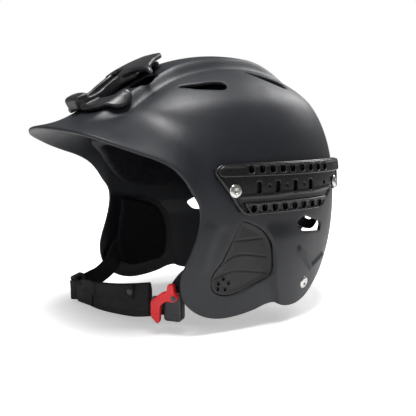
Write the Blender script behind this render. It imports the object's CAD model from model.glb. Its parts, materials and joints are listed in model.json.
import json
import math

import bpy
import numpy as np
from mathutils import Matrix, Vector
from mathutils.geometry import delaunay_2d_cdt
from mathutils.kdtree import KDTree

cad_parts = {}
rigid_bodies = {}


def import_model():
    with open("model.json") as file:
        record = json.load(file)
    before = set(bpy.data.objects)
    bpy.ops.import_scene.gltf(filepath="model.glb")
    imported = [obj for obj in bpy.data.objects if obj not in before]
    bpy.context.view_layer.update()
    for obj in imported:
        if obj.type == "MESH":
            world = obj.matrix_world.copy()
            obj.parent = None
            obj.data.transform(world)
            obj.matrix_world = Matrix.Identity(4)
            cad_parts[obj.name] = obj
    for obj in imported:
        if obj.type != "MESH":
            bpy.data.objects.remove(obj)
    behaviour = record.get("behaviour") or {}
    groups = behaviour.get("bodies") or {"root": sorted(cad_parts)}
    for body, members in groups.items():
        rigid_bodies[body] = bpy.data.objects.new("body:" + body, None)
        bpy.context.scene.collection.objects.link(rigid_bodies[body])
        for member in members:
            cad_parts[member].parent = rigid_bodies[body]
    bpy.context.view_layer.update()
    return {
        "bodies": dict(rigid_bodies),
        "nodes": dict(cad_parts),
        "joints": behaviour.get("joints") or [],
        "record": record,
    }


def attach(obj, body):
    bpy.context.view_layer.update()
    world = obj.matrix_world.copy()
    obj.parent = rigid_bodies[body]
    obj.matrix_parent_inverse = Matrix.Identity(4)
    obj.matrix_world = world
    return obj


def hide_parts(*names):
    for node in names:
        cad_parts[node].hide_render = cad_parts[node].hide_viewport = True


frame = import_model()
MM = 0.001
SHIFT = np.array((0.0, 5.1, 14.0))      # design frame (mm) to row frame
CENTRE = np.array((0.0, 20.0, 95.0))    # every helmet radius is measured from here


# ---------------------------------------------------------------- the helmet's surface, in mm
def smooth(x, low, high):
    t = np.clip((x - low) / (high - low), 0, 1)
    return t * t * (3 - 2 * t)


def unit(v):
    return v / np.linalg.norm(v, axis=-1, keepdims=True)


def box_radius(d, sizes, plan_power, up, down, power):
    width, front, rear = sizes
    length = np.where(d[:, 1] < 0, front, rear)
    height = np.where(d[:, 2] > 0, up, down)
    plan = (np.abs(d[:, 0]) / width) ** plan_power + (np.abs(d[:, 1]) / length) ** plan_power
    return (plan ** (power / plan_power) + (np.abs(d[:, 2]) / height) ** power) ** (-1 / power)


def base_radius(d):
    elevation = np.degrees(np.arcsin(np.clip(d[:, 2], -1, 1)))
    azimuth = np.degrees(np.arctan2(np.abs(d[:, 0]), -d[:, 1]))
    back = smooth(azimuth, 95, 180)
    power = np.where(d[:, 1] < 0, 3.3 - smooth(elevation, 0, 36), 2.1)
    wall = box_radius(d, (103, 138, 130), power, 150 - 15 * back, 200 - 88 * back, 2.3)
    dome = box_radius(d, (122, 156, 143), 2.2, 132, 400, 2.0)
    return (wall + dome - np.hypot(wall - dome, 2.2)) / 2


def features(d, radius):
    """Crest band over the crown and the brim's flare."""
    p = CENTRE + d * radius[:, None]
    narrow = 1 - 0.35 * smooth(p[:, 1], -20, 110)
    side = 1 - smooth(np.abs(p[:, 0]) / narrow, 31, 41)
    crest = 8.5 * (1 - smooth(p[:, 1], 40, 125)) * side * smooth(p[:, 2], 150, 175)
    elevation = np.degrees(np.arcsin(np.clip(d[:, 2], -1, 1)))
    azimuth = np.degrees(np.arctan2(np.abs(d[:, 0]), -d[:, 1]))
    edge = 21.5 - 4.5 * (np.minimum(azimuth, 60) / 40) ** 1.5
    depth = np.clip((edge + 18 - elevation) / 18, 0, 1.5)
    return crest + 52 * (1 - smooth(azimuth, 22, 54)) * depth ** 2 * smooth(elevation, -8, 6)


def on_surface(d, featured=False):
    radius = base_radius(d)
    if featured:
        radius = radius + features(d, radius)
    return CENTRE + d * radius[:, None]


def normals(d, featured=False):
    side = unit(np.cross(d, (0.31, 0.17, 0.93)))
    other = np.cross(d, side)
    p = on_surface(d, featured)
    a = on_surface(unit(d + side * 0.004), featured)
    b = on_surface(unit(d + other * 0.004), featured)
    n = unit(np.cross(a - p, b - p))
    return n * np.sign(np.sum(n * d, axis=1))[:, None]


# ---------------------------------------------------------------- flat maps of the surface
def from_crown(uv):
    """Directions from a map spread flat round the crown, in radians."""
    r = np.hypot(uv[:, 0], uv[:, 1])
    s = np.where(r > 1e-9, np.sin(r) / np.maximum(r, 1e-9), 1)
    return np.column_stack((s * uv[:, 0], s * uv[:, 1], np.cos(r)))


def to_crown(d):
    r = np.arccos(np.clip(d[:, 2], -1, 1))
    s = np.maximum(np.hypot(d[:, 0], d[:, 1]), 1e-9)
    return np.column_stack((d[:, 0] * r / s, d[:, 1] * r / s))


def from_side(uv):
    """Directions to the points of the left side seen at (y, z) from the side."""
    low, high = np.full(len(uv), 1.0), np.full(len(uv), 160.0)
    for _ in range(26):
        x = (low + high) / 2
        p = np.column_stack((x, uv[:, 0], uv[:, 1])) - CENTRE
        inside = np.linalg.norm(p, axis=1) < base_radius(unit(p))
        low, high = np.where(inside, x, low), np.where(inside, high, x)
    return unit(np.column_stack((low, uv[:, 0], uv[:, 1])) - CENTRE)


def to_side(d):
    return on_surface(d)[:, 1:]


def helmet_map(unmap, remap, featured=False):
    """A flat map of the helmet's surface: (point at uv, normal at uv, uv of a point)."""
    return (lambda uv: on_surface(unmap(uv), featured), lambda uv: normals(unmap(uv), featured),
            lambda p: remap(unit(p - CENTRE)))


def plane_map(origin, u, v):
    origin, u, v = (np.array(k, float) for k in (origin, u, v))
    n = np.cross(u, v)
    return (lambda uv: origin + uv[:, :1] * u + uv[:, 1:] * v, lambda uv: np.tile(n, (len(uv), 1)),
            lambda p: np.column_stack(((p - origin) @ u, (p - origin) @ v)))


CROWN = helmet_map(from_crown, to_crown)
CROWN_FULL = helmet_map(from_crown, to_crown, True)
SIDE = helmet_map(from_side, to_side)


# ---------------------------------------------------------------- outlines
def curve(points, step=1.0, closed=False):
    """Smooth line through points (any dimension), resampled evenly."""
    p = np.array(points, float)
    if closed:
        p = np.vstack((p[-2:], p, p[:2]))
    else:
        p = np.vstack((2 * p[0] - p[1], p, 2 * p[-1] - p[-2]))
    out = []
    for a, b, c, d in zip(p, p[1:], p[2:], p[3:]):
        t = np.linspace(0, 1, 24, endpoint=False)[:, None]
        ta, tb, tc = (np.linalg.norm(q) ** 0.5 + 1e-9 for q in (b - a, c - b, d - c))
        m1 = (c - b) / tb + ((b - a) / ta - (c - a) / (ta + tb))
        m2 = (c - b) / tb + ((d - c) / tc - (d - b) / (tb + tc))
        m1, m2 = m1 * tb, m2 * tb
        out.append((2 * t ** 3 - 3 * t ** 2 + 1) * b + (t ** 3 - 2 * t ** 2 + t) * m1
                   + (3 * t ** 2 - 2 * t ** 3) * c + (t ** 3 - t ** 2) * m2)
    line = np.vstack(out[1:-1] if closed else out + [p[-2:-1]])
    return resample(line, step, closed)


def resample(line, step, closed=False):
    if closed:
        line = np.vstack((line, line[:1]))
    length = np.concatenate(([0], np.cumsum(np.linalg.norm(np.diff(line, axis=0), axis=1))))
    count = max(8, int(round(length[-1] / step)))
    at = np.linspace(0, length[-1], count + 1)[:count if closed else count + 1]
    return np.column_stack([np.interp(at, length, line[:, k]) for k in range(line.shape[1])])


def rounded(points, radius, step=0.6):
    """Closed polygon with rounded corners."""
    p = np.array(points, float)
    out = []
    for a, b, c in zip(np.roll(p, 1, 0), p, np.roll(p, -1, 0)):
        r = min(radius, 0.45 * np.linalg.norm(a - b), 0.45 * np.linalg.norm(c - b))
        s, e = b + unit(a - b) * r, b + unit(c - b) * r
        t = np.linspace(0, 1, 7)[:, None]
        out.append((1 - t) ** 2 * s + 2 * t * (1 - t) * b + t * t * e)
    return resample(np.vstack(out), step, True)


def signed(points, loop, reach=None):
    """Distance from each point to a closed loop, positive inside it and no lower than -reach."""
    if reach is not None:
        out = np.full(len(points), -float(reach))
        near = np.all((points > loop.min(0) - reach) & (points < loop.max(0) + reach), axis=1)
        if near.any():
            out[near] = np.maximum(signed(points[near], loop), -reach)
        return out
    best = np.full(len(points), 1e18)
    inside = np.zeros(len(points), bool)
    x, y = points[:, 0].copy(), points[:, 1].copy()
    for (ax, ay), (bx, by) in zip(loop, np.roll(loop, -1, 0)):
        dx, dy = bx - ax, by - ay
        px, py = x - ax, y - ay
        t = np.clip((px * dx + py * dy) / (dx * dx + dy * dy + 1e-12), 0, 1)
        np.minimum(best, (px - t * dx) ** 2 + (py - t * dy) ** 2, out=best)
        if ay != by:
            inside ^= ((ay > y) != (by > y)) & (px < py * (dx / dy))
    best = np.sqrt(best)
    return np.where(inside, best, -best)


def contours(keep, low, high, step):
    """Closed zero lines of keep(uv) inside a rectangle; keep is positive on the material."""
    xs, ys = np.arange(low[0], high[0] + step, step), np.arange(low[1], high[1] + step, step)
    gx, gy = np.meshgrid(xs, ys, indexing="ij")
    v = keep(np.column_stack((gx.ravel(), gy.ravel()))).reshape(gx.shape)
    v = np.where(np.abs(v) < 1e-6, 1e-6, v)
    v[0], v[-1], v[:, 0], v[:, -1] = (-np.abs(k) for k in (v[0], v[-1], v[:, 0], v[:, -1]))
    links = {}

    def cut(i, j, k, l):
        t = v[i, j] / (v[i, j] - v[k, l])
        return (xs[i] + t * (xs[k] - xs[i]), ys[j] + t * (ys[l] - ys[j]))

    where = {}
    for i, j in zip(*np.nonzero((v[:-1, :-1] > 0) | (v[1:, :-1] > 0) | (v[:-1, 1:] > 0) | (v[1:, 1:] > 0))):
        ring = ((i, j), (i + 1, j), (i + 1, j + 1), (i, j + 1))
        s = [v[c] > 0 for c in ring]
        if all(s):
            continue
        cuts = []
        for k in range(4):
            a, b = ring[k], ring[(k + 1) % 4]
            if s[k] != s[(k + 1) % 4]:
                key = (a, b) if a < b else (b, a)
                where[key] = cut(*key[0], *key[1])
                cuts.append(key)
        for a, b in zip(cuts[::2], cuts[1::2]):
            links.setdefault(a, []).append(b)
            links.setdefault(b, []).append(a)
    loops = []
    seen = set()
    for start in links:
        if start in seen:
            continue
        loop, at = [], start
        while at is not None and at not in seen:
            seen.add(at)
            loop.append(where[at])
            at = next((n for n in links[at] if n not in seen), None)
        if len(loop) > 8:
            loops.append(np.array(loop))
    return loops


def spaced(uv, plan, step, soften=2):
    """A closed loop of the map, resampled evenly on the surface itself."""
    for _ in range(soften):
        uv = 0.5 * uv + 0.25 * (np.roll(uv, 1, 0) + np.roll(uv, -1, 0))
    line = resample(np.column_stack((plan[0](uv), uv)), 0.4, True)
    length = np.sum(np.linalg.norm(np.diff(line[:, :3], axis=0), axis=1))
    pick = np.linspace(0, len(line), max(10, int(length / step)), endpoint=False)
    return np.column_stack([np.interp(pick, np.arange(len(line) + 1), np.append(line[:, k], line[0, k]))
                            for k in (3, 4)])


# ---------------------------------------------------------------- meshes
def mesh(name, verts, faces, body="helmet"):
    """Object from points in the design frame (mm), riding on a body of the frame."""
    data = bpy.data.meshes.new(name)
    points = (np.asarray(verts) + SHIFT) * MM
    data.from_pydata(points.tolist(), [], [tuple(int(i) for i in f) for f in faces])
    data.validate()
    data.shade_smooth()
    obj = bpy.data.objects.new(name, data)
    bpy.context.collection.objects.link(obj)
    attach(obj, body)
    return obj


def tree_of(points):
    tree = KDTree(len(points))
    for i, q in enumerate(points):
        tree.insert(q, i)
    tree.balance()
    return tree


def layer(plan, keep, low, high, top, bottom, cell, edge, rim, sculpt=None, pressed=None, lines=()):
    """Sheet between two offsets of a mapped surface, with rounded rims: (points, faces).

    keep(uv) is positive on the material; sculpt(p) raises the outer face and pressed(p) moves both faces.
    lines are open or closed map lines that the triangles follow, so that a step or a crease stays crisp.
    """
    point, normal, back = plan
    span = top - bottom
    rim = min(rim, span / 2)
    loops = [spaced(line, plan, edge) for line in contours(keep, low, high, cell * 0.6)]
    rings, inner_uv = [], []
    for uv in loops:
        p, n = point(uv), normal(uv)
        along = unit(np.roll(p, -1, 0) - np.roll(p, 1, 0))
        m = unit(np.cross(n, along))
        m *= np.sign(np.sum(keep(back(p + m)) - keep(back(p - m))))
        rings.append((p, n, m))
        inner_uv.append(back(p + m * rim))
    starts = np.cumsum([0] + [len(u) for u in inner_uv])
    edges = [(int(s + i), int(s + (i + 1) % len(u))) for s, u in zip(starts, inner_uv) for i in range(len(u))]
    border = tree_of(point(np.vstack(inner_uv)))
    extra = []
    for line in lines:
        room = np.array([border.find(q)[2] > 0.6 * edge for q in point(line)]) & (keep(line) > 0.5 * rim)
        base = int(starts[-1]) + sum(len(e) for e in extra)
        rank = np.cumsum(room) - 1
        edges += [(int(base + rank[i]), int(base + rank[i + 1])) for i in range(len(line) - 1)
                  if room[i] and room[i + 1]]
        extra.append(line[room])
    fixed = np.vstack(inner_uv + extra)
    tree = tree_of(point(fixed))
    xs, ys = np.arange(low[0], high[0], cell), np.arange(low[1], high[1], cell * 0.866)
    gx, gy = np.meshgrid(xs, ys, indexing="ij")
    gx = gx + (np.arange(len(ys)) % 2) * cell / 2
    grid = np.column_stack((gx.ravel(), gy.ravel()))
    grid = grid[keep(grid) > 0.5 * rim]
    grid = grid[np.array([tree.find(q)[2] > 0.75 * edge for q in point(grid)], bool)]
    uvs = np.vstack((fixed, grid))
    flat, _, tris, origin, _, _ = delaunay_2d_cdt([Vector(q) for q in uvs], edges, [], 1, 1e-7)
    flat = np.array([tuple(q) for q in flat])
    tris = np.array([t for t in tris if len(t) == 3])
    tris = tris[keep(flat[tris].mean(axis=1)) > 0.25 * rim]
    base, n = point(flat), normal(flat)
    lift = np.zeros(len(flat)) if pressed is None else pressed(base)
    raised = np.zeros(len(flat)) if sculpt is None else sculpt(base)
    outer, under = base + n * (top + lift + raised)[:, None], base + n * (bottom + lift)[:, None]
    a, b, c = (base[tris[:, k]] for k in range(3))
    if np.sum(np.cross(b - a, c - a) * n[tris[:, 0]]) < 0:
        tris = tris[:, ::-1]
    verts, faces = [outer, under], [tuple(t) for t in tris] + [tuple(t[::-1] + len(flat)) for t in tris]
    index = {o: i for i, group in enumerate(origin) for o in group}
    count = 2 * len(flat)
    arc = np.radians(np.linspace(0, 90, 5))[1:]
    steps = [(rim * (1 - math.sin(t)), rim * (1 - math.cos(t))) for t in arc]
    back_steps = [(inset, span - depth) for inset, depth in reversed(steps)]
    steps += back_steps if span - 2 * rim > 0.05 else back_steps[1:]
    for (p, n, m), s in zip(rings, starts):
        k = len(p)
        press = np.zeros(k) if pressed is None else pressed(p)
        first = [index[int(s + i)] for i in range(k)]
        rows = [first]
        for inset, depth in steps:
            verts.append(p + m * inset + n * (top - depth + press)[:, None])
            rows.append(list(range(count, count + k)))
            count += k
        rows.append([i + len(flat) for i in first])
        along = np.roll(p, -1, 0) - p
        turn = np.sum(np.cross(n, along) * m) > 0
        for up, down in zip(rows, rows[1:]):
            for i in range(k):
                j = (i + 1) % k
                quad = (up[i], down[i], down[j], up[j])
                faces.append(quad if turn else quad[::-1])
    return np.vstack(verts), faces


def flip(part):
    """The mirror image of a piece (points, faces)."""
    verts, faces = part
    return verts * np.array((-1.0, 1.0, 1.0)), [tuple(reversed(f)) for f in faces]


def joined(parts):
    verts, faces, start = [], [], 0
    for v, f in parts:
        verts.append(v)
        faces += [tuple(int(i) + start for i in face) for face in f]
        start += len(v)
    return np.vstack(verts), faces


def pair(name, part, node):
    """The left piece and its mirror image, in place of the left and right node."""
    made = [mesh("left_" + name, *part), mesh("right_" + name, *flip(part))]
    for obj, side in zip(made, ("left_", "right_")):
        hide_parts(side + node)
    return made


# ---------------------------------------------------------------- outlines in the side plane (y, z)
BRIM_EDGE = [(-176, 172), (-161, 166), (-148, 161), (-136, 156), (-122, 150), (-106, 144), (-92, 139),
             (-79, 132), (-69, 122), (-62, 111)]
GUARD_EDGE = [(-55.5, 100), (-54.5, 88), (-57, 75), (-61, 63), (-66, 51), (-69.5, 40), (-69.5, 28),
              (-65.5, 17), (-57, 8), (-45, 1.5), (-31, -1.5), (-14, -1), (4, 2), (16, 5.5)]
PANEL_LOW = [(26, 6), (35, 2.5), (48, 1), (62, 2.5), (78, 8), (94, 18), (110, 28), (128, 35), (146, 38)]
HEX_HOLE = [(45, 79), (57, 85), (85, 76), (85, 67.5), (54, 70.5)]
EAR_RECESS = [(-16, 84), (-3, 81), (8.5, 74), (16, 64), (19.5, 50), (19, 35), (2, 27), (-16, 21), (-30, 20),
              (-39.5, 24.5), (-43, 32), (-41, 40), (-32.5, 51), (-24, 69)]
REAR_WINDOW = [(-36, 92), (36, 92), (31, 74), (39, 55), (26, 45), (-26, 45), (-39, 55), (-31, 74)]
REAR_SLOT = [(44, 50), (49, 46), (58, 34), (54, 32)]
TOP_VENTS = ([(52, -51), (58, -34), (62, -16), (66, -9), (72, -13), (69, -26), (62, -40)],
             [(45, 24), (49, 42), (53, 58), (57, 65), (64, 60), (62, 47), (54, 33)])
INTAKE = [(17, -85), (28, -83), (36, -75), (36, -64), (28, -59), (17, -61)]
PANEL_EDGE = curve([(12, 74), (20, 52), (21, 32), (27, 10), (29, -2)], 2)
V_RIDGE = np.array([(49.0, 54.0), (72.0, 33.0), (95.0, 41.0)])
FOLD_A = np.array([(-47.0, 78.0), (-49.0, 50.0)])
FOLD_B = np.array([(-33.0, 75.0), (-46.0, 50.0)])

SHELL_LINE = np.vstack((curve(BRIM_EDGE + GUARD_EDGE + PANEL_LOW, 3),
                        ((190, 38), (190, 270), (-260, 270), (-260, 172))))
HEX_LINE = rounded(HEX_HOLE, 3, 1.5)
EAR_LINE = curve(EAR_RECESS, 2, True)
WINDOW_LINE = rounded(REAR_WINDOW, 5, 2)
SLOT_LINE = rounded(REAR_SLOT, 1.5, 1)
VENT_LINES = [curve(v, 2, True) for v in TOP_VENTS] + [rounded(INTAKE, 5, 2)]


def from_line(points, line):
    """Distance from each point to an open line."""
    best = np.full(len(points), 1e18)
    for a, b in zip(line, line[1:]):
        d = b - a
        t = np.clip(((points - a) @ d) / (d @ d), 0, 1)
        best = np.minimum(best, np.sum((points - a - t[:, None] * d) ** 2, axis=1))
    return np.sqrt(best)


def on_shell(line, mirror):
    """Crown map positions of a line drawn in the side plane."""
    d = from_side(np.asarray(line, float))
    d[:, 0] *= mirror
    return to_crown(d)


# ---------------------------------------------------------------- outer shell
def vented(value, p, reach):
    """Cuts the crown vents and the intakes out of a keep value."""
    plan = np.column_stack((np.abs(p[:, 0]), p[:, 1]))
    for line in VENT_LINES:
        value = np.where(p[:, 2] > 130, np.minimum(value, -signed(plan, line, reach)), value)
    return value


def shell_keep(uv):
    p = CROWN_FULL[0](uv)
    mirror = np.abs(p[:, 0])
    side, rear = p[:, 1:], np.column_stack((mirror, p[:, 2]))
    value = signed(side, SHELL_LINE)
    cuts = np.maximum(signed(side, HEX_LINE, 6), signed(side, EAR_LINE, 6))
    value = np.where(mirror > 40, np.minimum(value, -cuts), value)
    behind = p[:, 1] > 95
    window = np.maximum(signed(rear, WINDOW_LINE, 6), signed(rear, SLOT_LINE, 6))
    value = np.where(behind, np.minimum(value, -window), value)
    return vented(value, p, 6)


def shell_press(p):
    """Rear panel standing proud along its front edge, and the soft slope down into the ear recess."""
    side = smooth(np.abs(p[:, 0]), 40, 60)
    behind = p[:, 1] - np.interp(p[:, 2], PANEL_EDGE[::-1, 1], PANEL_EDGE[::-1, 0])
    proud = smooth(behind, -0.7, 0.7) * (1 - smooth(behind, 8, 62)) * (1 - smooth(p[:, 2], 64, 84))
    rim = -signed(p[:, 1:], EAR_LINE, 16)
    slope = (1 - smooth(rim, 0, 15)) * (1 - smooth(p[:, 1], -30, 0)) * (1 - smooth(p[:, 2], 55, 80))
    plan = np.column_stack((np.abs(p[:, 0]), p[:, 1]))
    scoop = (1 - smooth(-signed(plan, VENT_LINES[-1], 24), -6, 20)) * smooth(p[:, 2], 150, 170)
    return side * (2.8 * proud - 1.6 * slope) - 2.2 * scoop


def shell_sculpt(p):
    side = smooth(np.abs(p[:, 0]), 40, 60)
    ridge = 2.0 * (1 - smooth(from_line(p[:, 1:], V_RIDGE), 0.3, 3.6))
    folds = 0.9 * (1 - smooth(from_line(p[:, 1:], FOLD_A), 0, 9))
    folds -= 0.9 * (1 - smooth(from_line(p[:, 1:], FOLD_B), 0, 9))
    return side * (ridge + folds)


SHELL_EDGES = [on_shell(PANEL_EDGE + (shift, 0), m) for shift in (-0.7, 0.7) for m in (1, -1)]
SHELL_EDGES += [on_shell(resample(V_RIDGE, 2), m) for m in (1, -1)]
shell = mesh("helmet_shell", *layer(CROWN_FULL, shell_keep, (-2.5, -2.5), (2.5, 2.5), top=0, bottom=-3.2,
                                    cell=0.018, edge=2.0, rim=1.4, sculpt=shell_sculpt, pressed=shell_press,
                                    lines=SHELL_EDGES))
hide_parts("outer_shell")

# ---------------------------------------------------------------- ear panels
# Three shallow waves across the panel, each from its front end through its middle to the rear edge.
GROOVES = [[(-22, 68), (-8, 68), (8, 68)], [(-38, 45), (-19, 55), (13, 51)], [(-43, 35), (-22, 41), (13, 36)]]
GROOVES = [curve(g, 2) for g in GROOVES]
PANEL_HOLES = [(-31, 35), (-35.5, 31), (-25.5, 30.5), (-35.5, 26), (-28.5, 25)]


def around(centre, radius, count=20):
    a = np.linspace(0, 2 * math.pi, count, endpoint=False)
    return np.column_stack((centre[0] + radius * np.cos(a), centre[1] + radius * np.sin(a)))


def keep_with(outline, holes, inset=0.0):
    def keep(uv):
        value = signed(uv, outline) - inset
        for hole in holes:
            value = np.minimum(value, -signed(uv, hole, 5))
        return value
    return keep


def panel_sculpt(p):
    depth = np.zeros(len(p))
    for line in GROOVES:
        depth = np.maximum(depth, 1 - smooth(from_line(p[:, 1:], line), 0.35, 1.0))
    rim = signed(p[:, 1:], EAR_LINE)
    return -0.8 * depth - 1.0 * smooth(rim, 0.8, 5)


# The plate fills the recess and a thin flange behind the shell closes the gap round it.
holes = [around(h, 1.6) for h in PANEL_HOLES]
panel_parts = [layer(SIDE, keep_with(EAR_LINE, holes, 0.3), (-48, 15), (24, 90), top=-1.6, bottom=-5.2,
                     cell=1.0, edge=0.8, rim=0.5, sculpt=panel_sculpt),
               layer(SIDE, keep_with(EAR_LINE, holes, -4.6), (-54, 10), (30, 96), top=-3.3, bottom=-5.0,
                     cell=1.8, edge=1.4, rim=0.5)]
panels = pair("ear_panel_skin", joined(panel_parts), "ear_panel")

# ---------------------------------------------------------------- accessory rails
RAIL_LINE = rounded([(-43, 127), (-37, 133), (-3, 134.5), (113, 136), (116, 132), (115.5, 107), (92, 105.5),
                     (84, 98), (76, 91), (-11, 89.5), (-18, 92)], 3, 1)
UPPER_BAR = rounded([(-41, 126.5), (-35.8, 132), (-3, 133.5), (111.8, 135), (114.6, 131), (114.2, 123.5),
                     (-38.5, 122.5)], 2.5, 1)
LOWER_BAR = rounded([(-18, 101), (82, 102), (74.5, 92), (-10.5, 90.6)], 2.5, 1)
RAIL_SCREWS = [(-25, 111.5), (103.5, 113.5)]
ANCHOR_SCREW = (62, 20)
RAIL_FOLD = np.array([(-19.0, 106.0), (94.0, 109.0)])


def slots(first, count, half, low, high, pitch=11.1):
    return [rounded([(y - half, low), (y + half, low), (y + half, high), (y - half, high)], 1.0, 0.7)
            for y in (first + pitch * i for i in range(count))]


UPPER_SLOTS = slots(-9.8, 9, 2.7, 125.6, 131.6)
LOWER_SLOTS = slots(-8.2, 8, 2.7, 93.2, 99.0)
MIDDLE_SLOTS = slots(-0.5, 4, 2.6, 108.5, 118.5, 20.2)
MIDDLE_SLOTS += [around((y, 114.5), 1.3) for y in (10.5, 30, 51, 82)]


def rail_sculpt(p):
    """Raised rim round the plate and the thin rib below the screws."""
    rim = 1.3 * (1 - smooth(signed(p[:, 1:], RAIL_LINE), 1.1, 1.9))
    return np.maximum(rim, 0.8 * (1 - smooth(from_line(p[:, 1:], RAIL_FOLD), 0.4, 1.1)))


def bar_sculpt(line):
    return lambda p: -0.7 * smooth(signed(p[:, 1:], line), 1.1, 1.8)


holes = [around(s, 2.2) for s in RAIL_SCREWS]
rail_cuts = UPPER_SLOTS + LOWER_SLOTS + MIDDLE_SLOTS + holes
rail_parts = [layer(SIDE, keep_with(RAIL_LINE, rail_cuts), (-46, 87), (119, 139), top=4.0, bottom=0.4,
                    cell=1.6, edge=1.0, rim=0.7, sculpt=rail_sculpt)]
for bar, cuts, low, high in ((UPPER_BAR, UPPER_SLOTS, (-46, 120), (119, 139)),
                             (LOWER_BAR, LOWER_SLOTS, (-24, 87), (88, 105))):
    rail_parts.append(layer(SIDE, keep_with(bar, cuts, 0.1), low, high, top=7.6, bottom=3.6, cell=1.3,
                            edge=1.0, rim=1.1, sculpt=bar_sculpt(bar)))
rails = pair("rail_body", joined(rail_parts), "rail")


# ---------------------------------------------------------------- screws
def basis(n):
    u = unit(np.cross((0.0, 0.0, 1.0), n))
    return u, np.cross(n, u)


def lathe(origin, n, profile, count=48):
    """Turned piece along n; profile holds (radius, height, six-sided share)."""
    u, v = basis(n)
    a = np.linspace(0, 2 * math.pi, count, endpoint=False)
    hexagon = 1 / np.cos((a + math.pi / 6) % (math.pi / 3) - math.pi / 6)
    verts, faces = [], []
    for r, h, six in profile:
        radius = r * (1 - six + six * hexagon)
        verts.append(origin + n * h + radius[:, None] * (np.cos(a)[:, None] * u + np.sin(a)[:, None] * v))
    for k in range(len(profile) - 1):
        for i in range(count):
            j = (i + 1) % count
            faces.append((k * count + i, k * count + j, (k + 1) * count + j, (k + 1) * count + i))
    faces.append(tuple(reversed(range(count))))
    faces.append(tuple(range((len(profile) - 1) * count, len(profile) * count)))
    return np.vstack(verts), faces


SCREW_PROFILE = [(5.7, 0, 0), (6.0, 0.15, 0), (6.0, 0.8, 0), (5.8, 1.3, 0), (5.3, 1.85, 0), (4.6, 2.25, 0),
                 (3.7, 2.5, 0), (2.6, 2.6, 0), (2.1, 2.58, 1), (1.95, 2.4, 1), (1.9, 1.2, 1), (0.4, 1.0, 1)]


def screws(name, places, seat):
    parts = []
    for y, z in places:
        d = from_side(np.array([(y, z)], float))
        p, n = on_surface(d)[0], normals(d)[0]
        head = lathe(p + n * seat, n, SCREW_PROFILE)
        shank = lathe(p + n * -9.5, n, [(1.8, 0, 0), (2, 0.3, 0), (2, 9.5 + seat, 0)], 20)
        for part in (head, shank):
            parts += [part, flip(part)]
    return mesh(name, *joined(parts))


rail_screws = screws("rail_screw_heads", RAIL_SCREWS, 4.05)
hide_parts("rail_screws")
anchor_screws = screws("anchor_screw_heads", [ANCHOR_SCREW], 0.05)
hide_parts("anchor_screws")


# ---------------------------------------------------------------- front mount
def plan_layer(outline, holes, top, bottom, rim=0.9, cell=0.012):
    """Part of the brow mount: a plate over the shell, outlined as seen from above."""
    outline, holes = rounded(outline, 2.5, 1), [rounded(h, 2.0, 1) for h in holes]

    def keep(uv):
        p = CROWN_FULL[0](uv)
        value = signed(p[:, :2], outline, 12)
        for hole in holes:
            value = np.minimum(value, -signed(p[:, :2], hole, 6))
        return np.where(p[:, 2] > 120, value, -12)
    return layer(CROWN_FULL, keep, (-0.7, -1.5), (0.7, -0.2), top, bottom, cell, 1.2, rim)


def mirrored(outline):
    return [(-x, y) for x, y in reversed(outline)]


FLOOR = [(-12, -122), (12, -122), (14, -100), (15, -70), (12, -46), (-12, -46), (-15, -70), (-14, -100)]
WING = [(12, -124), (24, -122), (33, -115), (38, -104), (38.5, -93), (37, -86), (33, -89), (29, -97),
        (22, -103), (14, -107)]
BAR = [(8.5, -122), (17, -121), (17, -110), (14.5, -98), (15, -84), (21, -73), (13, -68), (9.5, -84),
       (9.5, -100), (9, -112)]
LOBE = [(-14, -125), (14, -125), (17, -114), (-17, -114)]
ROOF = [(-17, -44), (-24, -56), (-37, -69), (-22, -76), (-13, -86), (-9, -76), (9, -76), (13, -86), (22, -76),
        (37, -69), (24, -56), (17, -44), (0, -49)]
POCKET = [(-8.2, -104), (8.2, -104), (8.2, -88), (-8.2, -88)]
MOUNT_SEAT = 0.6        # gap under the mount, which stays clear of the shell
mount_parts = [plan_layer(FLOOR, [POCKET], 4.0, MOUNT_SEAT)]
for outline, top in ((WING, 6.0), (BAR, 10.5)):
    mount_parts += [plan_layer(o, [], top, MOUNT_SEAT, 2.0) for o in (outline, mirrored(outline))]
mount_parts += [plan_layer(LOBE, [], 15, MOUNT_SEAT, 4.0), plan_layer(ROOF, [], 11.5, 6.5, 1.6)]
mount = mesh("brow_mount_body", *joined(mount_parts))


def apply_modifiers(obj):
    done = bpy.data.meshes.new_from_object(obj.evaluated_get(bpy.context.evaluated_depsgraph_get()))
    obj.modifiers.clear()
    old, obj.data = obj.data, done
    bpy.data.meshes.remove(old)


def melted(obj, voxel, rounds):
    """Joins overlapping shells of a mesh into one moulded body with soft edges."""
    modifier = obj.modifiers.new("melt", "REMESH")
    modifier.mode, modifier.voxel_size, modifier.use_smooth_shade = "VOXEL", voxel * MM, True
    soft = obj.modifiers.new("soft", "CORRECTIVE_SMOOTH")
    soft.iterations, soft.factor, soft.use_only_smooth = rounds, 0.5, True
    apply_modifiers(obj)
    obj.data.shade_smooth()


melted(mount, 0.7, 4)
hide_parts("front_mount")


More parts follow.
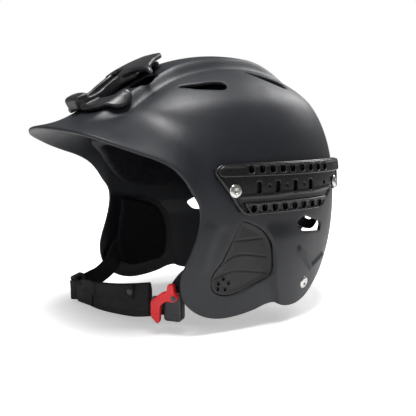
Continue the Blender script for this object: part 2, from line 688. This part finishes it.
# ---------------------------------------------------------------- straps
def sweep(path, widths, thickness, crown=0.0, step=1.5, across=14):
    """Strap along path: (points, faces, uv per point); crown 0 is flat webbing, 1 a padded sleeve."""
    line = curve(np.hstack((np.array(path, float), np.array(widths, float))), step)
    p, w = line[:, :3], line[:, 3:]
    along = unit(np.gradient(p, axis=0))
    n = unit(np.cross(along, w))
    a = np.linspace(-1, 1, across + 1)
    flat = np.where(np.abs(a) > 0.93, 0.45, 1.0)
    seam_dip = 1 - 0.12 * np.exp(-((np.abs(a) - 0.72) / 0.06) ** 2)
    round_ = np.sqrt(np.clip(1 - np.abs(a) ** 3.2, 0.02, 1)) * seam_dip
    b = flat * (1 - crown) + round_ * crown
    section = [(x, y) for x, y in zip(a, b)] + [(x, -y) for x, y in zip(a[::-1], b[::-1])]
    length = np.concatenate(([0], np.cumsum(np.linalg.norm(np.diff(p, axis=0), axis=1))))
    verts, uv = [], []
    for i in range(len(p)):
        half = np.linalg.norm(w[i]) / 2
        for x, y in section:
            s = length[i]
            fold = 0.5 * math.sin(s / 5.3 + 2.1 * x) * math.sin(s / 13.0 - 1.4 * x + 1)
            fold += 0.25 * math.sin(s / 2.9 - 3 * x)
            push = y * thickness / 2 + crown * (0.75 * fold * (1 - x * x) if y > 0 else 0)
            verts.append(p[i] + w[i] * x / 2 + n[i] * push)
            uv.append((length[i] * MM, x * half * MM))
    k = len(section)
    faces = [(i * k + j, i * k + (j + 1) % k, (i + 1) * k + (j + 1) % k, (i + 1) * k + j)
             for i in range(len(p) - 1) for j in range(k)]
    faces += [tuple(reversed(range(k))), tuple(range((len(p) - 1) * k, len(p) * k))]
    return np.array(verts), faces, np.array(uv)


def strap(name, path, widths, thickness, crown=0.0, body="helmet"):
    verts, faces, uv = sweep(path, widths, thickness, crown)
    obj = mesh(name, verts, faces, body)
    layer_uv = obj.data.uv_layers.new(name="weave")
    index = np.zeros(len(obj.data.loops), int)
    obj.data.loops.foreach_get("vertex_index", index)
    layer_uv.data.foreach_set("uv", uv[index].ravel())
    return obj


def inside_guard(y, z, side=1):
    d = from_side(np.array([(y, z)], float))
    p = on_surface(d)[0] - normals(d)[0] * 7.1
    return p * (side, 1, 1)


CHIN_PATH = np.array([(-52, -105, 2), (-38, -104.5, 3), (-15, -101.5, 4.5), (17, -95, 8), (39, -87, 11),
                      (53.5, -79.6, 14)], float)
CHIN_WIDTHS = np.array([(0, 0, w) for w in (22, 24, 27, 29, 31, 31)], float)
SLIDER_AT, SLIDER_RUN = np.array((-76, -98.5, 0.5)), unit(np.array((-0.27, 0.93, 0.25)))
SLIDER_W = unit(np.array((0, 0, 1.0)) - SLIDER_RUN * SLIDER_RUN[2])
BUCKLE_AT, BUCKLE_U = np.array((70, -66.5, 13.5)), unit(np.array((0.78, 0.62, 0)))
BUCKLE_W = np.array((0, 0, 1.0))
chin = strap("chin_band_sleeve", CHIN_PATH, CHIN_WIDTHS, 6.4, 1.0)
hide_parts("chin_band")
flat = SLIDER_W * 20
right_path = [inside_guard(-30, 44, -1), inside_guard(-50, 31, -1), inside_guard(-62, 16, -1),
              SLIDER_AT + SLIDER_RUN * 25, SLIDER_AT + SLIDER_RUN * 17, SLIDER_AT,
              SLIDER_AT - SLIDER_RUN * 8.5,
              (-69.5, -109.6, -1), (-61, -108.3, 0.5), (-52.6, -105.5, 1.8)]
level = (0, 0, 20)
right = strap("right_webbing_strap", right_path,
              [(0, -13, 15.2), (0, -13, 15.2), (0, -12.4, 15.7)] + [flat] * 4 + [level] * 3, 1.7)
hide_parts("right_webbing")
left = strap("left_webbing_strap", [inside_guard(-29, 57), inside_guard(-51, 45), (84, -59.5, 37.5),
             BUCKLE_AT + BUCKLE_U * 5 + BUCKLE_W * 13.4],
             [(0, -14, 14), (0, -13, 13.5), (-7, -12, 6), BUCKLE_U * -15], 1.7)
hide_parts("left_webbing")


# ---------------------------------------------------------------- what lies on the chin band
def along_band(line, up, out):
    """Points beside the band's path: share of its length, height from its middle, distance from its face."""
    path = curve(CHIN_PATH, 1.0)
    share = np.linspace(0, 1, len(path))
    t = np.array(line, float)
    p = np.column_stack([np.interp(t, share, path[:, k]) for k in range(3)])
    tangent = unit(np.column_stack([np.interp(t, share, np.gradient(path[:, k])) for k in range(3)]))
    outward = unit(np.cross(tangent, (0, 0, 1.0)))
    return p + outward * np.array(out)[..., None] + np.array((0, 0, 1.0)) * np.array(up)[..., None]


t = np.linspace(0.3, 0.86, 9)
upper = strap("chin_upper_strap", along_band(t, 6.5 + 2.0 * t, np.full(9, 4.1)), [(0, 0, 13)] * 9, 1.5)
t = np.linspace(0.14, 0.36, 5)
tab = strap("chin_folded_tab", along_band(t, 7.5 + 2.5 * np.sin(np.linspace(0, 3.1, 5)), np.full(5, 4.6)),
            [(0, 0, 10)] * 5, 1.9)
t = np.linspace(0.02, 0.3, 7)
lower = strap("chin_sleeve_flap", along_band(t, np.full(7, -1.0), np.linspace(4.4, 3.9, 7)),
              [(0, 0, 19)] * 7, 1.4)
snap_at = along_band([0.83], [8.4], [4.9])[0]
snap_n = along_band([0.83], [8.4], [5.9])[0] - snap_at
SNAP_PROFILE = [(2.9, 0, 0), (3.1, 0.3, 0), (2.9, 0.8, 0), (2.2, 1.0, 0), (1.8, 0.8, 0), (1.3, 0.9, 0),
                (0.3, 1.1, 0)]
snap = mesh("chin_snap", *lathe(snap_at, snap_n, SNAP_PROFILE))


def stitches(name, line, outward, length=2.2, gap=1.4, radius=0.32):
    """A row of sewn stitches along a 3-D line."""
    line = resample(np.array(line, float), length + gap)
    parts = []
    for a, b in zip(line, line[1:]):
        way = unit(b - a)
        end = a + way * length
        ring = [(0.4, 0), (1.0, 0.25), (1.0, 0.75), (0.4, 1)]
        u = unit(np.cross(way, outward))
        v = np.cross(u, way)
        verts = [a + (end - a) * s + radius * r * (math.cos(k) * u + math.sin(k) * v) + v * radius * 0.4
                 for r, s in ring for k in np.linspace(0, 2 * math.pi, 8, endpoint=False)]
        faces = [(i * 8 + j, i * 8 + (j + 1) % 8, (i + 1) * 8 + (j + 1) % 8, (i + 1) * 8 + j)
                 for i in range(3) for j in range(8)]
        parts.append((np.array(verts), faces + [tuple(reversed(range(8))), tuple(range(24, 32))]))
    return mesh(name, *joined(parts))


def seam(name, start, end, count, height, slope, out):
    """A stitch row along the chin band, from one share of its length to another."""
    t = np.linspace(start, end, count)
    return stitches("seam_" + name, along_band(t, height + slope * t, np.full(count, out)), snap_n)


SEAM_ROWS = (("upper_a", 0.31, 0.85, 40, 11.7, 2.0, 4.85), ("upper_b", 0.31, 0.85, 40, 1.3, 2.0, 4.85),
             ("flap_a", 0.03, 0.29, 20, 7.2, 0.0, 5.0), ("flap_b", 0.03, 0.29, 20, -9.2, 0.0, 5.0),
             ("band_low", 0.33, 0.97, 46, -9.6, -1.6, 2.9))
seams = [seam(*row) for row in SEAM_ROWS]


# ---------------------------------------------------------------- slider and buckle
def plate(plane, outline, top, bottom, rim, holes=(), corner=1.5, cell=1.2):
    outline, holes = rounded(outline, corner, 0.8), [rounded(h, 0.8, 0.6) for h in holes]
    low, high = outline.min(0) - 2, outline.max(0) + 2
    return layer(plane, keep_with(outline, holes), low, high, top, bottom, cell, 0.7, rim)


def rectangle(u0, w0, u1, w1):
    return [(u0, w0), (u1, w0), (u1, w1), (u0, w1)]


def zigzag(u, low, high, depth, count):
    """Toothed end of the slider, from low to high."""
    w = np.linspace(low, high, 2 * count + 1)
    return [(u + (depth if k % 2 else 0), v) for k, v in enumerate(w)]


slider_plane = plane_map(SLIDER_AT, SLIDER_RUN, SLIDER_W)
teeth = zigzag(6.2, -12.8, 12.8, 0.8, 7) + [(-u, w) for u, w in zigzag(6.2, 12.8, -12.8, 0.8, 7)]
window = rectangle(-2.6, -10.8, 2.6, 10.8)
sides = [rectangle(-6.6, s * 10.9, 6.6, s * 13) for s in (1, -1)]
slider_parts = [plate(slider_plane, teeth, 3.4, 1.5, 0.7, [window], 0.3),
                plate(slider_plane, teeth, -1.5, -3.4, 0.7, [], 0.3)]
slider_parts += [plate(slider_plane, side_bar, 2.6, -2.6, 0.6) for side_bar in sides]
slider = mesh("slider_block", *joined(slider_parts), body="slider")
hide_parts("strap_slider")

buckle_plane = plane_map(BUCKLE_AT, BUCKLE_U, BUCKLE_W)
HOUSING, LUG = rectangle(-6, -16, 10, 10), rectangle(-3, 8, 12, 13.2)
CROSS_BARS = (rectangle(-5.6, 5, 9.6, 9.6), rectangle(-5.6, -15.6, 9.6, -12.8))
PIN_AT = (6, 6.5)
housing_parts = [plate(buckle_plane, HOUSING, 5, 1.6, 1.4, [around(PIN_AT, 1.3, 14)], 3.0),
                 plate(buckle_plane, HOUSING, -1.6, -6, 1.4, [], 3.0)]
housing_parts += [plate(buckle_plane, bar, 2.4, -2.4, 0.8) for bar in CROSS_BARS]
housing = mesh("buckle_body", *joined(housing_parts + [plate(buckle_plane, LUG, 2.5, -4, 1.2, [], 2.0)]))
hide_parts("buckle_housing")
LEVER = [(-15.9, 2.3), (-15.9, -11.7), (-9.3, -17.9), (-7.7, -14.7), (-7.2, -1.2), (-1.5, 3.2), (6, 2.6),
         (9.6, 6.5), (6.2, 12), (5.4, 18.3), (0, 18.3), (-0.8, 11.5), (-5.3, 10.8)]
lever_line = rounded(LEVER, 1.6, 0.8)


def lever_ribs(p):
    """Grip ribs across the lever's hanging end."""
    u, w = (p - BUCKLE_AT) @ BUCKLE_U, (p - BUCKLE_AT) @ BUCKLE_W
    rib = 0.5 - 0.5 * np.cos((w + 12) * 2 * math.pi / 2.6)
    return 0.55 * rib * smooth(-u, 8.6, 10) * smooth(-w, 1, 3) * (1 - smooth(-w, 11.5, 13.5))


lever = mesh("buckle_lever_bar", *layer(buckle_plane, keep_with(lever_line, [around(PIN_AT, 1.35, 14)]),
                                        (-18, -20), (12, 20), top=11.2, bottom=5.4, cell=0.8, edge=0.7,
                                        rim=1.1, sculpt=lever_ribs), body="lever")
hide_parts("buckle_lever")


# ---------------------------------------------------------------- liner and pads
def offset_keep(plan, depth, outline, across):
    """Outline in the side plane (y, z), tested on the surface sunk by depth, within |x| < across."""
    point, normal, _ = plan

    def keep(uv):
        q = point(uv) - normal(uv) * depth
        return np.minimum(signed(q[:, 1:], outline), across - np.abs(q[:, 0]))
    return keep


LINER_EDGE = [(-140, 166), (-112, 156), (-92, 148), (-76, 140), (-62, 126), (-50, 114), (-36, 106),
              (-16, 103), (20, 101), (60, 100), (100, 100), (150, 100)]
LINER_LINE = np.vstack((curve(LINER_EDGE, 4), ((180, 100), (180, 260), (-140, 260))))
liner_shape = offset_keep(CROWN, 14, LINER_LINE, 160)


def liner_keep(uv):
    return vented(liner_shape(uv), CROWN[0](uv), 8)


liner = mesh("foam_liner", *layer(CROWN, liner_keep, (-2.2, -2.2), (2.2, 2.2), top=-7.8, bottom=-20.8,
                                  cell=0.034, edge=3.5, rim=4.0))
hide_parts("impact_liner")


def cushion(name, parts, node, pressure=3.0, voxel=3.2, fixed=None):
    """Padded fabric piece: a closed skin blown out by air pressure, held where it is sewn or glued."""
    obj = mesh(name, *joined(parts))
    modifier = obj.modifiers.new("even", "REMESH")
    modifier.mode, modifier.voxel_size = "VOXEL", voxel * MM
    apply_modifiers(obj)
    data = obj.data
    rest = np.empty(len(data.vertices) * 3)
    data.vertices.foreach_get("co", rest)
    rest = rest.reshape(-1, 3)
    p = rest / MM - SHIFT
    held = fixed(p) if fixed else np.zeros(len(p))
    group = obj.vertex_groups.new(name="sewn")
    for value in (0.25, 0.5, 0.75, 1.0):
        index = np.nonzero((held > value - 0.125) & (held <= value + 0.126))[0]
        group.add(index.tolist(), value, "REPLACE")
    cloth = obj.modifiers.new("cloth", "CLOTH")
    settings = cloth.settings
    settings.quality, settings.mass = 5, 0.25
    settings.use_pressure, settings.uniform_pressure_force = True, pressure
    settings.tension_stiffness = settings.compression_stiffness = 20
    settings.shear_stiffness, settings.bending_stiffness = 8, 0.4
    settings.effector_weights.gravity = 0
    settings.vertex_group_mass, settings.pin_stiffness = "sewn", 1.0
    scene = bpy.context.scene
    scene.frame_start, scene.frame_end = 1, 20
    for step in range(1, 21):
        scene.frame_set(step)
    apply_modifiers(obj)
    scene.frame_set(1)
    now = np.empty(len(obj.data.vertices) * 3)
    obj.data.vertices.foreach_get("co", now)
    move = now.reshape(-1, 3) - rest
    size = np.linalg.norm(move, axis=1, keepdims=True)
    move *= np.minimum(1, 0.0022 / np.maximum(size, 1e-9))
    obj.data.vertices.foreach_set("co", (rest + move).ravel())
    obj.data.shade_smooth()
    obj.modifiers.new("fine", "SUBSURF").levels = 1
    obj.modifiers["fine"].render_levels = 1
    apply_modifiers(obj)
    obj.data.shade_smooth()
    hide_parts(*node)
    return obj


EAR_PAD = curve([(-46, 90), (-30, 88), (0, 78), (10, 62), (12, 34), (6, 18), (-20, 12), (-40, 12), (-50, 19),
                 (-54, 32), (-54, 46), (-51, 62), (-48, 78)], 2, True)
PAD_TOP, PAD_LOW = -10.2, -16.6     # ear pad between these offsets from the shell's surface
SKIN = (-21.9, -26.7)               # brow, crown and side pads between these
PAD_DEPTH = 24                      # their outlines are drawn at this depth


def ear_seam(p):
    """Held along the sewn channel that runs inside the ear pad's edge."""
    side = signed(p[:, 1:], EAR_PAD)
    return 0.75 * (np.abs(side - 10) < 1.6)


pads = []
ear = layer(SIDE, keep_with(EAR_PAD, []), (-58, 10), (16, 92), PAD_TOP, PAD_LOW,
            cell=3.0, edge=2.5, rim=3.0)
pads.append(cushion("left_ear_cushion", [ear], ["left_ear_pad"], fixed=ear_seam))
pads.append(cushion("right_ear_cushion", [flip(ear)], ["right_ear_pad"], fixed=ear_seam))
BROW = rounded([(-130, 160), (-130, 186), (-62, 186), (-74, 152), (-100, 156)], 4, 2)
brow = layer(CROWN, offset_keep(CROWN, PAD_DEPTH, BROW, 60), (-1.2, -2.0), (1.2, -0.2), *SKIN,
             cell=0.03, edge=3, rim=2.4)
pads.append(cushion("brow_cushion", [brow], ["brow_pad"]))
CROWN_LINE = rounded([(-20, 190), (-20, 240), (60, 240), (60, 190)], 4, 2)
crown = layer(CROWN, offset_keep(CROWN, PAD_DEPTH, CROWN_LINE, 28), (-0.6, -0.8), (0.6, 0.8), *SKIN,
              cell=0.03, edge=3, rim=2.4)
pads.append(cushion("crown_cushion", [crown], ["crown_pad"]))
SIDE_PAD = curve([(-18, 120), (10, 114), (46, 114), (58, 126), (50, 146), (20, 152), (-12, 144)], 2, True)
side = layer(SIDE, offset_keep(SIDE, PAD_DEPTH, SIDE_PAD, 200), (-30, 100), (75, 170), *SKIN,
             cell=3.0, edge=2.5, rim=2.4)
pads.append(cushion("side_cushions", [side, flip(side)], ["side_pads"]))
nape_plane = plane_map((0, 108.2, 69), (-1, 0, 0), (0, 0, 1))
nape_line = rounded(rectangle(-30, -17, 30, 15), 7, 2)
nape = layer(nape_plane, keep_with(nape_line, []), (-33, -20), (33, 18), top=2.0, bottom=-2.0, cell=3.0,
             edge=2.5, rim=2.0)
pads.append(cushion("nape_cushion", [nape], ["nape_pad"]))


# ---------------------------------------------------------------- materials
class Shader:
    """Small wrapper that adds and joins shader nodes."""

    def __init__(self, name):
        self.material = bpy.data.materials.new(name)
        self.material.use_nodes = True
        self.nodes, self.links = self.material.node_tree.nodes, self.material.node_tree.links
        self.out = self.nodes["Principled BSDF"]
        self.place = self.nodes.new("ShaderNodeTexCoord").outputs["Object"]

    def add(self, kind, inputs=(), **settings):
        node = self.nodes.new("ShaderNode" + kind)
        for key, value in settings.items():
            setattr(node, key, value)
        for key, value in dict(inputs).items():
            self.put(node.inputs[key], value)
        return node

    def put(self, socket, value):
        if hasattr(value, "is_output"):
            self.links.new(value, socket)
        else:
            socket.default_value = value

    def math(self, operation, a, b=0.0):
        return self.add("Math", {0: a, 1: b}, operation=operation).outputs[0]

    def noise(self, scale, detail=4.0, roughness=0.6, vector=None):
        inputs = {"Vector": vector or self.place, "Scale": scale, "Detail": detail, "Roughness": roughness}
        return self.add("TexNoise", inputs).outputs["Fac"]

    def span(self, value, low, high, to_low=0.0, to_high=1.0):
        inputs = {"Value": value, "From Min": low, "From Max": high, "To Min": to_low, "To Max": to_high}
        return self.add("MapRange", inputs).outputs[0]

    def mix(self, factor, a, b):
        node = self.add("Mix", data_type="RGBA")
        for socket, value in ((node.inputs[0], factor), (node.inputs[6], a), (node.inputs[7], b)):
            self.put(socket, (*value, 1) if isinstance(value, tuple) else value)
        return node.outputs[2]

    def finish(self, colour, rough, height, distance, strength=1.0, metallic=0.0, specular=0.5):
        self.put(self.out.inputs["Base Color"], (*colour, 1) if isinstance(colour, tuple) else colour)
        self.put(self.out.inputs["Roughness"], rough)
        self.put(self.out.inputs["Metallic"], metallic)
        self.put(self.out.inputs["Specular IOR Level"], specular)
        bump = self.add("Bump", {"Height": height, "Distance": distance, "Strength": strength})
        self.links.new(bump.outputs[0], self.out.inputs["Normal"])
        return self.material


def scaled(colour, factor):
    return tuple(c * factor for c in colour)


def moulded(name, colour, rough, grain=1500, depth=0.00012, worn=(0.09, 0.09, 0.095), wear=0.5, specular=0.5,
            metallic=0.0):
    """Injection moulded plastic: fine grain, slow tone drift, handling scuffs and rubbed edges."""
    s = Shader(name)
    drift = s.span(s.noise(14, 3), 0.3, 0.7)
    dark, light = scaled(colour, 0.82), scaled(colour, 1.2)
    tone = s.mix(drift, dark, light)
    edge = s.span(s.add("NewGeometry").outputs["Pointiness"], 0.515, 0.58)
    rub = s.math("MULTIPLY", edge, s.span(s.noise(160, 8, 0.7), 0.42, 0.62))
    scuff = s.span(s.noise(70, 12, 0.75), 0.6, 0.7)
    tone = s.mix(s.math("MULTIPLY", rub, wear), tone, worn)
    tone = s.mix(s.math("MULTIPLY", scuff, 0.18 * wear), tone, worn)
    gloss = s.math("ADD", s.span(s.noise(45, 5), 0.25, 0.75, rough - 0.06, rough + 0.07),
                   s.math("MULTIPLY", scuff, 0.1))
    height = s.math("ADD", s.noise(grain, 2), s.math("MULTIPLY", s.noise(220, 3), 0.7))
    return s.finish(tone, gloss, height, depth, 1.0, metallic, specular)


def woven(name, colour, rib=0.0017, warp=0.0012, depth=0.00035, rough=0.8):
    """Webbing: ribs across the strap, warp threads along it, darker selvedges and a little fuzz."""
    s = Shader(name)
    uv = s.add("SeparateXYZ", {0: s.add("UVMap", uv_map="weave").outputs[0]}).outputs
    ribs = s.math("SINE", s.math("MULTIPLY", uv[0], 2 * math.pi / rib))
    threads = s.math("SINE", s.math("MULTIPLY", uv[1], 2 * math.pi / warp))
    weave = s.math("MULTIPLY", ribs, threads)
    height = s.math("ADD", s.math("MULTIPLY", ribs, 0.45), weave)
    fuzz = s.noise(2600, 2)
    shade = s.span(height, -1.2, 1.2, 0.25, 0.95)
    shade = s.math("MULTIPLY", shade, s.span(s.noise(35, 4), 0.2, 0.8, 0.7, 1.15))
    tone = s.mix(shade, scaled(colour, 0.35), tuple(min(1, c * 1.5) for c in colour))
    return s.finish(tone, s.span(fuzz, 0.3, 0.7, rough - 0.1, rough + 0.1),
                    s.math("ADD", height, s.math("MULTIPLY", fuzz, 0.4)), depth, 0.8, 0.0, 0.3)


def knit(name, colour, scale=700, depth=0.0004):
    """Spacer mesh fabric of the pads."""
    s = Shader(name)
    cells = s.add("TexVoronoi", {"Vector": s.place, "Scale": scale}).outputs["Distance"]
    fuzz = s.noise(2400, 3)
    tone = s.mix(s.span(cells, 0.1, 0.6), scaled(colour, 1.5), scaled(colour, 0.35))
    tone = s.mix(s.span(s.noise(24, 4), 0.35, 0.7, 0, 0.2), tone, scaled(colour, 1.6))
    height = s.math("SUBTRACT", s.math("MULTIPLY", fuzz, 0.4), cells)
    return s.finish(tone, s.span(fuzz, 0.3, 0.7, 0.8, 0.96), height, depth, 0.9, 0.0, 0.2)


def beads(name, colour):
    """Moulded bead foam."""
    s = Shader(name)
    cells = s.add("TexVoronoi", {"Vector": s.place, "Scale": 300.0}, feature="DISTANCE_TO_EDGE").outputs[0]
    tone = s.mix(s.span(cells, 0.0, 0.12), scaled(colour, 0.4), colour)
    tone = s.mix(s.span(s.noise(300, 2), 0.4, 0.7, 0, 0.3), tone, scaled(colour, 1.8))
    height = s.math("ADD", s.span(cells, 0.0, 0.2), s.math("MULTIPLY", s.noise(900, 3), 0.3))
    return s.finish(tone, s.span(s.noise(120, 3), 0.3, 0.7, 0.72, 0.9), height, 0.0004, 0.8, 0.0, 0.25)


def metal(name, colour, rough):
    """Plated steel with fine turning marks and a few dull spots."""
    s = Shader(name)
    stretch = s.add("Mapping", {"Vector": s.place, "Scale": (1, 1, 9)}).outputs[0]
    marks = s.noise(900, 3, 0.6, stretch)
    spots = s.span(s.noise(240, 6, 0.7), 0.55, 0.72)
    tone = s.mix(spots, colour, scaled(colour, 0.45))
    gloss = s.math("ADD", s.span(marks, 0.3, 0.7, rough - 0.07, rough + 0.08),
                   s.math("MULTIPLY", spots, 0.25))
    return s.finish(tone, gloss, marks, 0.00003, 0.7, 1.0)


SHELL_BLACK = moulded("shell_black", (0.0105, 0.0115, 0.0155), 0.44, worn=(0.05, 0.052, 0.06), specular=0.42)
PANEL_BLACK = moulded("panel_black", (0.019, 0.019, 0.020), 0.52, grain=1100, depth=0.0002, specular=0.35)
RAIL_BLACK = moulded("rail_black", (0.006, 0.006, 0.007), 0.25, grain=1800, depth=0.00006, wear=0.7)
MOUNT_BLACK = moulded("mount_black", (0.0075, 0.008, 0.0095), 0.33, grain=1600, depth=0.00008, wear=0.6)
CRADLE_BLACK = moulded("cradle_black", (0.012, 0.012, 0.013), 0.42)
BUCKLE_BLACK = moulded("buckle_black", (0.010, 0.010, 0.011), 0.32, grain=1800, depth=0.00008, wear=0.8)
LEVER_RED = moulded("lever_red", (0.62, 0.008, 0.012), 0.36, grain=1800, depth=0.00006,
                    worn=(0.8, 0.16, 0.14), wear=0.4)
WEBBING = woven("webbing_black", (0.014, 0.014, 0.016))
SLEEVE = woven("sleeve_black", (0.017, 0.017, 0.019), 0.0011, 0.0011, 0.0002, 0.86)
PAD_FABRIC = knit("pad_fabric", (0.006, 0.0065, 0.009))
FOAM = beads("foam_black", (0.005, 0.0055, 0.0085))
STEEL = metal("screw_steel", (0.62, 0.61, 0.59), 0.24)
PLATE_STEEL = metal("plate_steel", (0.5, 0.5, 0.5), 0.34)
THREAD = knit("sewing_thread", (0.05, 0.05, 0.053), 2600, 0.0001)

# Material, record slot and the pieces that wear it.
MADE = [(SHELL_BLACK, "shell_black", [shell]), (PANEL_BLACK, "panel_black", panels),
        (RAIL_BLACK, "rail_black", rails), (STEEL, "screw_steel", [rail_screws, anchor_screws]),
        (MOUNT_BLACK, "mount_black", [mount]), (SLEEVE, "webbing_black", [chin]),
        (WEBBING, "webbing_black", [right, left, upper, tab, lower]),
        (BUCKLE_BLACK, "buckle_black", [snap, slider, housing]), (LEVER_RED, "lever_red", [lever]),
        (FOAM, "foam_black", [liner]), (PAD_FABRIC, "pad_fabric", pads), (THREAD, "webbing_black", seams)]
for look, record_slot, pieces in MADE:
    for piece in pieces:
        piece.data.materials.clear()
        piece.data.materials.append(look)

# The CAD solids that show as they are.
KEPT = [(STEEL, ["rail_nuts", "anchor_nuts", "strap_rivets"]), (PLATE_STEEL, ["mount_plate"]),
        (BUCKLE_BLACK, ["buckle_pin", "buckle_tongue"]),
        (CRADLE_BLACK, ["left_cradle_band", "right_cradle_band", "dial_housing", "dial_pinion", "dial_knob"])]
for look, nodes in KEPT:
    for node in nodes:
        if node in frame.get("nodes", {}):
            for material_slot in frame["nodes"][node].material_slots:
                material_slot.link = "OBJECT"
                material_slot.material = look


# ---------------------------------------------------------------- camera, light, floor
TARGET = (np.array((0, -1.6, 87.8)) + SHIFT) * MM
azimuth, elevation, distance = math.radians(59.3), math.radians(6.7), 0.605
away = np.array((math.sin(azimuth) * math.cos(elevation), -math.cos(azimuth) * math.cos(elevation),
                 math.sin(elevation)))
camera = bpy.data.objects.new("camera", bpy.data.cameras.new("camera"))
camera.data.lens, camera.data.sensor_width = 51.7, 36
camera.data.shift_x, camera.data.shift_y = 0.031, -0.007
camera.data.clip_start = 0.01
camera.location = TARGET + away * distance
camera.rotation_euler = Vector(-away).to_track_quat("-Z", "Y").to_euler()
bpy.context.collection.objects.link(camera)
bpy.context.scene.camera = camera


def softbox(name, location, size, power, target=(0, 0, 0.12)):
    light = bpy.data.objects.new(name, bpy.data.lights.new(name, "AREA"))
    light.data.shape, light.data.size, light.data.energy = "SQUARE", size, power
    light.location = location
    light.rotation_euler = (Vector(location) - Vector(target)).to_track_quat("Z", "Y").to_euler()
    bpy.context.collection.objects.link(light)


softbox("key", (0.25, -0.2, 1.5), 0.6, 27)
softbox("front", (0.5, -1.5, 0.7), 0.8, 4)
softbox("back", (-0.2, 1.3, 1.1), 0.8, 14)

world = bpy.data.worlds.new("studio")
bpy.context.scene.world = world
world.use_nodes = True
tree = world.node_tree
background, output = tree.nodes["Background"], tree.nodes["World Output"]
background.inputs[0].default_value = (1, 1, 1, 1)
path = tree.nodes.new("ShaderNodeLightPath")
level_node = tree.nodes.new("ShaderNodeMapRange")
level_node.inputs["To Min"].default_value = 0.2
level_node.inputs["To Max"].default_value = 1.0
tree.links.new(path.outputs["Is Camera Ray"], level_node.inputs["Value"])
tree.links.new(level_node.outputs[0], background.inputs[1])

floor_mesh = bpy.data.meshes.new("floor")
reach = 3.0
floor_mesh.from_pydata([(-reach, -reach, 0), (reach, -reach, 0), (reach, reach, 0), (-reach, reach, 0)], [],
                       [(0, 1, 2, 3)])
floor = bpy.data.objects.new("studio_floor", floor_mesh)
floor.location = (0, 0, -0.0005)
bpy.context.collection.objects.link(floor)
paper = Shader("paper")
paper_tone = paper.mix(paper.noise(3, 2), (0.9, 0.9, 0.9), (0.94, 0.94, 0.94))
paper.finish(paper_tone, 0.85, paper.noise(500, 2), 0.00005, 0.3, 0.0, 0.1)
away_from_middle = paper.add("VectorMath", {0: paper.place}, operation="LENGTH").outputs["Value"]
paper.put(paper.out.inputs["Emission Color"], (1, 1, 1, 1))
seen = paper.add("LightPath").outputs["Is Camera Ray"]
glow = paper.math("MULTIPLY", paper.span(away_from_middle, 0.15, 0.75, 0.42, 1.0), seen)
paper.put(paper.out.inputs["Emission Strength"], glow)
floor_mesh.materials.append(paper.material)
bpy.context.scene.view_settings.view_transform = "Standard"
